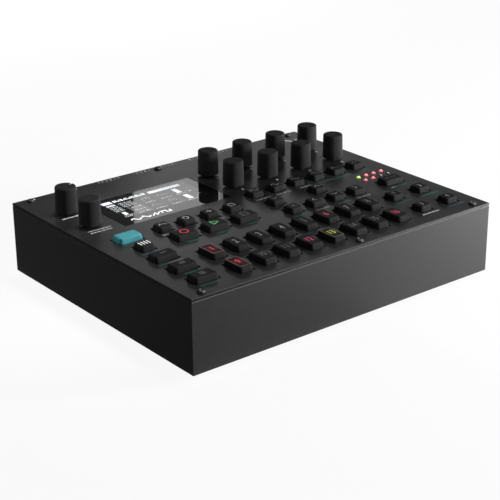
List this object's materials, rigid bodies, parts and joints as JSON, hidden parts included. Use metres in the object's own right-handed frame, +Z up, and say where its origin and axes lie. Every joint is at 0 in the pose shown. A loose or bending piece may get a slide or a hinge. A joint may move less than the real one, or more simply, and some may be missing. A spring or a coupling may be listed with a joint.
{
  "type": "fm synthesizer",
  "caption": "Desktop FM synthesizer in a flat black steel case, with a display window, turning knobs, sprung keys, indicator lamps and rear audio, data and power sockets.",
  "frame": {"origin": "under the middle of the case, on the surface the rubber feet stand on", "axes": "+X to the player's right, +Y to the rear with the sockets, +Z up out of the panel"},
  "size_m": [0.215, 0.176, 0.063],
  "materials": {
    "case_paint": "matte black powder coat",
    "panel_paint": "matte black powder coat with printed marks",
    "window": "gloss black window",
    "board": "solder mask and black plastic",
    "rubber": "matte",
    "knob": "soft matte black",
    "key_cap": "matte moulded plastic",
    "function_cap": "translucent teal plastic"
  },
  "bodies": {
    "chassis": {"bottom_case": "case_paint", "top_panel": "panel_paint", "display_module": "window", "circuit_board": "board", "rubber_feet": "rubber"},
    "volume_knob": {"volume_knob": "knob"},
    "level_knob": {"level_knob": "knob"},
    "data_knob_1": {"data_knob_1": "knob"},
    "data_knob_2": {"data_knob_2": "knob"},
    "data_knob_3": {"data_knob_3": "knob"},
    "data_knob_4": {"data_knob_4": "knob"},
    "data_knob_5": {"data_knob_5": "knob"},
    "data_knob_6": {"data_knob_6": "knob"},
    "data_knob_7": {"data_knob_7": "knob"},
    "data_knob_8": {"data_knob_8": "knob"},
    "function_key": {"function_key": "function_cap"},
    "keyboard_key": {"keyboard_key": "key_cap"},
    "mode_key_1": {"mode_key_1": "key_cap"},
    "mode_key_2": {"mode_key_2": "key_cap"},
    "mode_key_3": {"mode_key_3": "key_cap"},
    "menu_key_1": {"menu_key_1": "key_cap"},
    "menu_key_2": {"menu_key_2": "key_cap"},
    "menu_key_3": {"menu_key_3": "key_cap"},
    "menu_key_4": {"menu_key_4": "key_cap"},
    "record_key": {"record_key": "key_cap"},
    "play_key": {"play_key": "key_cap"},
    "stop_key": {"stop_key": "key_cap"},
    "step_key_1": {"step_key_1": "key_cap"},
    "step_key_2": {"step_key_2": "key_cap"},
    "step_key_3": {"step_key_3": "key_cap"},
    "step_key_4": {"step_key_4": "key_cap"},
    "step_key_5": {"step_key_5": "key_cap"},
    "step_key_6": {"step_key_6": "key_cap"},
    "step_key_7": {"step_key_7": "key_cap"},
    "step_key_8": {"step_key_8": "key_cap"},
    "step_key_9": {"step_key_9": "key_cap"},
    "step_key_10": {"step_key_10": "key_cap"},
    "step_key_11": {"step_key_11": "key_cap"},
    "step_key_12": {"step_key_12": "key_cap"},
    "step_key_13": {"step_key_13": "key_cap"},
    "step_key_14": {"step_key_14": "key_cap"},
    "step_key_15": {"step_key_15": "key_cap"},
    "step_key_16": {"step_key_16": "key_cap"},
    "parameter_key_1": {"parameter_key_1": "key_cap"},
    "parameter_key_2": {"parameter_key_2": "key_cap"},
    "parameter_key_3": {"parameter_key_3": "key_cap"},
    "parameter_key_4": {"parameter_key_4": "key_cap"},
    "parameter_key_5": {"parameter_key_5": "key_cap"},
    "parameter_key_6": {"parameter_key_6": "key_cap"},
    "yes_key": {"yes_key": "key_cap"},
    "no_key": {"no_key": "key_cap"},
    "up_key": {"up_key": "key_cap"},
    "left_key": {"left_key": "key_cap"},
    "down_key": {"down_key": "key_cap"},
    "right_key": {"right_key": "key_cap"},
    "page_key": {"page_key": "key_cap"},
    "track_key_1": {"track_key_1": "key_cap"},
    "track_key_2": {"track_key_2": "key_cap"},
    "track_key_3": {"track_key_3": "key_cap"},
    "track_key_4": {"track_key_4": "key_cap"}
  },
  "joints": [
    {"name": "volume_knob_turn", "type": "hinge", "parent": "chassis", "child": "volume_knob", "pos_m": [-0.0916, 0.0539, 0.04635], "axis": [0, 0, -1], "range_deg": [-150, 150]},
    {"name": "level_knob_turn", "type": "hinge", "parent": "chassis", "child": "level_knob", "pos_m": [-0.0916, 0.02885, 0.04635], "axis": [0, 0, -1], "continuous": true},
    {"name": "data_knob_1_turn", "type": "hinge", "parent": "chassis", "child": "data_knob_1", "pos_m": [0.0097, 0.0539, 0.04635], "axis": [0, 0, -1], "continuous": true},
    {"name": "data_knob_2_turn", "type": "hinge", "parent": "chassis", "child": "data_knob_2", "pos_m": [0.03623, 0.0539, 0.04635], "axis": [0, 0, -1], "continuous": true},
    {"name": "data_knob_3_turn", "type": "hinge", "parent": "chassis", "child": "data_knob_3", "pos_m": [0.06277, 0.0539, 0.04635], "axis": [0, 0, -1], "continuous": true},
    {"name": "data_knob_4_turn", "type": "hinge", "parent": "chassis", "child": "data_knob_4", "pos_m": [0.0893, 0.0539, 0.04635], "axis": [0, 0, -1], "continuous": true},
    {"name": "data_knob_5_turn", "type": "hinge", "parent": "chassis", "child": "data_knob_5", "pos_m": [0.0097, 0.02885, 0.04635], "axis": [0, 0, -1], "continuous": true},
    {"name": "data_knob_6_turn", "type": "hinge", "parent": "chassis", "child": "data_knob_6", "pos_m": [0.03623, 0.02885, 0.04635], "axis": [0, 0, -1], "continuous": true},
    {"name": "data_knob_7_turn", "type": "hinge", "parent": "chassis", "child": "data_knob_7", "pos_m": [0.06277, 0.02885, 0.04635], "axis": [0, 0, -1], "continuous": true},
    {"name": "data_knob_8_turn", "type": "hinge", "parent": "chassis", "child": "data_knob_8", "pos_m": [0.0893, 0.02885, 0.04635], "axis": [0, 0, -1], "continuous": true},
    {"name": "function_key_press", "type": "slide", "parent": "chassis", "child": "function_key", "axis": [0, 0, -1], "range_m": [0, 0.0007], "stiffness_N_per_m": 800},
    {"name": "keyboard_key_press", "type": "slide", "parent": "chassis", "child": "keyboard_key", "axis": [0, 0, -1], "range_m": [0, 0.0007], "stiffness_N_per_m": 800},
    {"name": "mode_key_1_press", "type": "slide", "parent": "chassis", "child": "mode_key_1", "axis": [0, 0, -1], "range_m": [0, 0.0007], "stiffness_N_per_m": 800},
    {"name": "mode_key_2_press", "type": "slide", "parent": "chassis", "child": "mode_key_2", "axis": [0, 0, -1], "range_m": [0, 0.0007], "stiffness_N_per_m": 800},
    {"name": "mode_key_3_press", "type": "slide", "parent": "chassis", "child": "mode_key_3", "axis": [0, 0, -1], "range_m": [0, 0.0007], "stiffness_N_per_m": 800},
    {"name": "menu_key_1_press", "type": "slide", "parent": "chassis", "child": "menu_key_1", "axis": [0, 0, -1], "range_m": [0, 0.0007], "stiffness_N_per_m": 800},
    {"name": "menu_key_2_press", "type": "slide", "parent": "chassis", "child": "menu_key_2", "axis": [0, 0, -1], "range_m": [0, 0.0007], "stiffness_N_per_m": 800},
    {"name": "menu_key_3_press", "type": "slide", "parent": "chassis", "child": "menu_key_3", "axis": [0, 0, -1], "range_m": [0, 0.0007], "stiffness_N_per_m": 800},
    {"name": "menu_key_4_press", "type": "slide", "parent": "chassis", "child": "menu_key_4", "axis": [0, 0, -1], "range_m": [0, 0.0007], "stiffness_N_per_m": 800},
    {"name": "record_key_press", "type": "slide", "parent": "chassis", "child": "record_key", "axis": [0, 0, -1], "range_m": [0, 0.0007], "stiffness_N_per_m": 800},
    {"name": "play_key_press", "type": "slide", "parent": "chassis", "child": "play_key", "axis": [0, 0, -1], "range_m": [0, 0.0007], "stiffness_N_per_m": 800},
    {"name": "stop_key_press", "type": "slide", "parent": "chassis", "child": "stop_key", "axis": [0, 0, -1], "range_m": [0, 0.0007], "stiffness_N_per_m": 800},
    {"name": "step_key_1_press", "type": "slide", "parent": "chassis", "child": "step_key_1", "axis": [0, 0, -1], "range_m": [0, 0.0007], "stiffness_N_per_m": 800},
    {"name": "step_key_2_press", "type": "slide", "parent": "chassis", "child": "step_key_2", "axis": [0, 0, -1], "range_m": [0, 0.0007], "stiffness_N_per_m": 800},
    {"name": "step_key_3_press", "type": "slide", "parent": "chassis", "child": "step_key_3", "axis": [0, 0, -1], "range_m": [0, 0.0007], "stiffness_N_per_m": 800},
    {"name": "step_key_4_press", "type": "slide", "parent": "chassis", "child": "step_key_4", "axis": [0, 0, -1], "range_m": [0, 0.0007], "stiffness_N_per_m": 800},
    {"name": "step_key_5_press", "type": "slide", "parent": "chassis", "child": "step_key_5", "axis": [0, 0, -1], "range_m": [0, 0.0007], "stiffness_N_per_m": 800},
    {"name": "step_key_6_press", "type": "slide", "parent": "chassis", "child": "step_key_6", "axis": [0, 0, -1], "range_m": [0, 0.0007], "stiffness_N_per_m": 800},
    {"name": "step_key_7_press", "type": "slide", "parent": "chassis", "child": "step_key_7", "axis": [0, 0, -1], "range_m": [0, 0.0007], "stiffness_N_per_m": 800},
    {"name": "step_key_8_press", "type": "slide", "parent": "chassis", "child": "step_key_8", "axis": [0, 0, -1], "range_m": [0, 0.0007], "stiffness_N_per_m": 800},
    {"name": "step_key_9_press", "type": "slide", "parent": "chassis", "child": "step_key_9", "axis": [0, 0, -1], "range_m": [0, 0.0007], "stiffness_N_per_m": 800},
    {"name": "step_key_10_press", "type": "slide", "parent": "chassis", "child": "step_key_10", "axis": [0, 0, -1], "range_m": [0, 0.0007], "stiffness_N_per_m": 800},
    {"name": "step_key_11_press", "type": "slide", "parent": "chassis", "child": "step_key_11", "axis": [0, 0, -1], "range_m": [0, 0.0007], "stiffness_N_per_m": 800},
    {"name": "step_key_12_press", "type": "slide", "parent": "chassis", "child": "step_key_12", "axis": [0, 0, -1], "range_m": [0, 0.0007], "stiffness_N_per_m": 800},
    {"name": "step_key_13_press", "type": "slide", "parent": "chassis", "child": "step_key_13", "axis": [0, 0, -1], "range_m": [0, 0.0007], "stiffness_N_per_m": 800},
    {"name": "step_key_14_press", "type": "slide", "parent": "chassis", "child": "step_key_14", "axis": [0, 0, -1], "range_m": [0, 0.0007], "stiffness_N_per_m": 800},
    {"name": "step_key_15_press", "type": "slide", "parent": "chassis", "child": "step_key_15", "axis": [0, 0, -1], "range_m": [0, 0.0007], "stiffness_N_per_m": 800},
    {"name": "step_key_16_press", "type": "slide", "parent": "chassis", "child": "step_key_16", "axis": [0, 0, -1], "range_m": [0, 0.0007], "stiffness_N_per_m": 800},
    {"name": "parameter_key_1_press", "type": "slide", "parent": "chassis", "child": "parameter_key_1", "axis": [0, 0, -1], "range_m": [0, 0.0007], "stiffness_N_per_m": 800},
    {"name": "parameter_key_2_press", "type": "slide", "parent": "chassis", "child": "parameter_key_2", "axis": [0, 0, -1], "range_m": [0, 0.0007], "stiffness_N_per_m": 800},
    {"name": "parameter_key_3_press", "type": "slide", "parent": "chassis", "child": "parameter_key_3", "axis": [0, 0, -1], "range_m": [0, 0.0007], "stiffness_N_per_m": 800},
    {"name": "parameter_key_4_press", "type": "slide", "parent": "chassis", "child": "parameter_key_4", "axis": [0, 0, -1], "range_m": [0, 0.0007], "stiffness_N_per_m": 800},
    {"name": "parameter_key_5_press", "type": "slide", "parent": "chassis", "child": "parameter_key_5", "axis": [0, 0, -1], "range_m": [0, 0.0007], "stiffness_N_per_m": 800},
    {"name": "parameter_key_6_press", "type": "slide", "parent": "chassis", "child": "parameter_key_6", "axis": [0, 0, -1], "range_m": [0, 0.0007], "stiffness_N_per_m": 800},
    {"name": "yes_key_press", "type": "slide", "parent": "chassis", "child": "yes_key", "axis": [0, 0, -1], "range_m": [0, 0.0007], "stiffness_N_per_m": 800},
    {"name": "no_key_press", "type": "slide", "parent": "chassis", "child": "no_key", "axis": [0, 0, -1], "range_m": [0, 0.0007], "stiffness_N_per_m": 800},
    {"name": "up_key_press", "type": "slide", "parent": "chassis", "child": "up_key", "axis": [0, 0, -1], "range_m": [0, 0.0007], "stiffness_N_per_m": 800},
    {"name": "left_key_press", "type": "slide", "parent": "chassis", "child": "left_key", "axis": [0, 0, -1], "range_m": [0, 0.0007], "stiffness_N_per_m": 800},
    {"name": "down_key_press", "type": "slide", "parent": "chassis", "child": "down_key", "axis": [0, 0, -1], "range_m": [0, 0.0007], "stiffness_N_per_m": 800},
    {"name": "right_key_press", "type": "slide", "parent": "chassis", "child": "right_key", "axis": [0, 0, -1], "range_m": [0, 0.0007], "stiffness_N_per_m": 800},
    {"name": "page_key_press", "type": "slide", "parent": "chassis", "child": "page_key", "axis": [0, 0, -1], "range_m": [0, 0.0007], "stiffness_N_per_m": 800},
    {"name": "track_key_1_press", "type": "slide", "parent": "chassis", "child": "track_key_1", "axis": [0, 0, -1], "range_m": [0, 0.0007], "stiffness_N_per_m": 800},
    {"name": "track_key_2_press", "type": "slide", "parent": "chassis", "child": "track_key_2", "axis": [0, 0, -1], "range_m": [0, 0.0007], "stiffness_N_per_m": 800},
    {"name": "track_key_3_press", "type": "slide", "parent": "chassis", "child": "track_key_3", "axis": [0, 0, -1], "range_m": [0, 0.0007], "stiffness_N_per_m": 800},
    {"name": "track_key_4_press", "type": "slide", "parent": "chassis", "child": "track_key_4", "axis": [0, 0, -1], "range_m": [0, 0.0007], "stiffness_N_per_m": 800}
  ]
}
